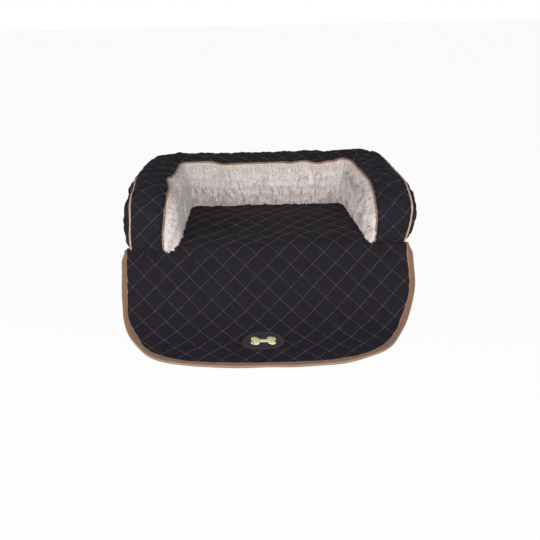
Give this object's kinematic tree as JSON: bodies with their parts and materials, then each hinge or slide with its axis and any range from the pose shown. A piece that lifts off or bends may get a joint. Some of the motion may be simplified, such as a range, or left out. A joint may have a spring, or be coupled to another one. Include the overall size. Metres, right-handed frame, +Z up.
{
  "type": "dog sofa bed",
  "caption": "Sofa-shaped dog bed: quilted U bolster with fleece inner faces on a deep padded base, with a quilted front flap that lies on the floor.",
  "frame": {"origin": "centre of the base's underside, on the floor", "axes": "+X to the right as seen from the front, +Y to the back bolster, +Z up; the flap lies towards -Y"},
  "size_m": [0.753, 0.8074, 0.3331],
  "materials": {
    "quilted_polyester": "woven polyester quilted in diamonds with tan thread",
    "fleece": "curly pile",
    "piping": "satin cord piping",
    "binding": "brushed tape",
    "lining": "plain weave",
    "grip_cloth": "plain weave with small rubber dots",
    "filling": "polyester fibre",
    "patch": "woven patch",
    "thread": "satin-stitched thread",
    "zip_plastic": "moulded",
    "zip_metal": "lacquered die-cast zinc"
  },
  "bodies": {
    "bed": {"grip_base": "grip_cloth", "base_filling": "filling", "base_boxing": "quilted_polyester", "front_panel": "quilted_polyester", "deck_panel": "lining", "seat_panel": "quilted_polyester", "left_filling": "filling", "back_filling": "filling", "right_filling": "filling", "left_arm_cover": "quilted_polyester", "back_cover": "quilted_polyester", "right_arm_cover": "quilted_polyester", "left_side_panel": "quilted_polyester", "back_panel": "quilted_polyester", "right_side_panel": "quilted_polyester", "left_fleece": "fleece", "back_fleece": "fleece", "right_fleece": "fleece", "inner_piping": "piping", "outer_piping": "piping", "zip_tape": "lining", "zip_chain": "zip_plastic", "zip_stops": "zip_metal"},
    "flap": {"flap_hem": "quilted_polyester", "flap_lining": "lining", "flap_face": "quilted_polyester", "flap_binding": "binding", "badge_patch": "patch", "badge_motif": "thread"},
    "slider": {"zip_slider": "zip_metal"},
    "pull": {"zip_pull": "zip_metal"}
  },
  "joints": [
    {"name": "flap_fold", "type": "hinge", "parent": "bed", "child": "flap", "pos_m": [0, -0.2313, 0.1574], "axis": [-1, 0, 0], "range_deg": [0, 105]},
    {"name": "zip_slide", "type": "slide", "parent": "bed", "child": "slider", "axis": [1, 0, 0], "range_m": [0, 0.57]},
    {"name": "zip_pull_flip", "type": "hinge", "parent": "slider", "child": "pull", "pos_m": [-0.287, 0.23238, 0.04], "axis": [0, 0, 1], "range_deg": [0, 170]}
  ]
}
